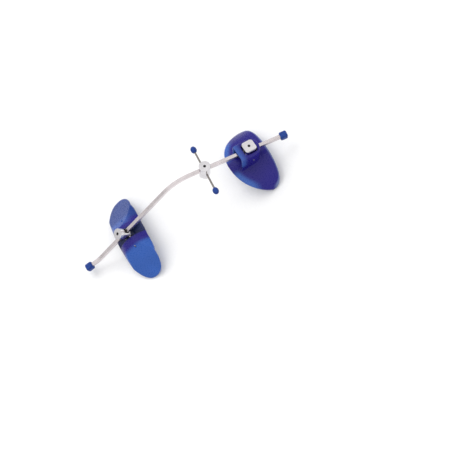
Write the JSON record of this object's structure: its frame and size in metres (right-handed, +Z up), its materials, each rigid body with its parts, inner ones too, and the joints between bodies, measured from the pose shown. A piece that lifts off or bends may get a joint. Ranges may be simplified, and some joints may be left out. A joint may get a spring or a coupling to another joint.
{
  "type": "orthodontic face mask",
  "caption": "Orthodontic face mask: a bent square bar carries a sliding forehead pad, a collar with a capped crossbar for elastics, and a tilting chin cup.",
  "frame": {"origin": "middle of the bounding box, on the table that the mask lies on", "axes": "+X from the chin towards the forehead, +Y across the face to the wearer's left, +Z up out of the face; the mask lies face up on the wing tips of its two shells"},
  "size_m": [0.2502, 0.0924, 0.0645],
  "materials": {
    "steel": "polished stainless steel with fine drawn lines",
    "screw_steel": "plain turned stainless steel",
    "vinyl": "soft blue dipped vinyl, low sheen",
    "clear_blue": "glossy tinted moulded plastic, slightly see-through at its thin rims"
  },
  "bodies": {
    "bar": {"main_rod": "steel", "rod_cap_upper": "vinyl", "rod_cap_lower": "vinyl"},
    "collar": {"collar_body": "steel"},
    "collar_screw": {"collar_set_screw": "screw_steel"},
    "elastic_bar": {"crossbar": "steel", "crossbar_cap_left": "vinyl", "crossbar_cap_right": "vinyl"},
    "forehead_clamp": {"forehead_clamp_block": "steel"},
    "forehead_screw": {"forehead_set_screw": "screw_steel"},
    "forehead_shell": {"forehead_pad": "clear_blue", "forehead_hinge_pin": "steel"},
    "chin_clamp": {"chin_clamp_post": "steel"},
    "chin_screw": {"chin_set_screw": "screw_steel"},
    "chin_shell": {"chin_cup": "clear_blue", "chin_hinge_pin": "steel"}
  },
  "joints": [
    {"name": "collar_slide", "type": "slide", "parent": "bar", "child": "collar", "axis": [0.915, 0, -0.4035], "range_m": [-0.008, 0.014]},
    {"name": "collar_screw_turn", "type": "hinge", "parent": "collar", "child": "collar_screw", "pos_m": [0.04031, 0, 0.053], "axis": [0.4035, 0, 0.915], "continuous": true},
    {"name": "crossbar_slide", "type": "slide", "parent": "collar", "child": "elastic_bar", "axis": [0, 1, 0], "range_m": [-0.012, 0.012]},
    {"name": "forehead_slide", "type": "slide", "parent": "bar", "child": "forehead_clamp", "axis": [0.915, 0, -0.4035], "range_m": [-0.008, 0.016]},
    {"name": "forehead_screw_turn", "type": "hinge", "parent": "forehead_clamp", "child": "forehead_screw", "pos_m": [0.0856, 0, 0.03302], "axis": [0.4002, 0.0383, 0.9156], "continuous": true},
    {"name": "forehead_tilt", "type": "hinge", "parent": "forehead_clamp", "child": "forehead_shell", "pos_m": [0.083, -0.00025, 0.02707], "axis": [-0.0952, 0.9955, 0], "range_deg": [-4, 4]},
    {"name": "chin_slide", "type": "slide", "parent": "bar", "child": "chin_clamp", "axis": [0.9048, 0, 0.4258], "range_m": [-0.02, 0.03]},
    {"name": "chin_screw_turn", "type": "hinge", "parent": "chin_clamp", "child": "chin_screw", "pos_m": [-0.069, 0, 0.02935], "axis": [-0.4258, 0, 0.9048], "continuous": true},
    {"name": "chin_tilt", "type": "hinge", "parent": "chin_clamp", "child": "chin_shell", "pos_m": [-0.06615, 0, 0.02329], "axis": [0, 1, 0], "range_deg": [-8, 8]}
  ]
}
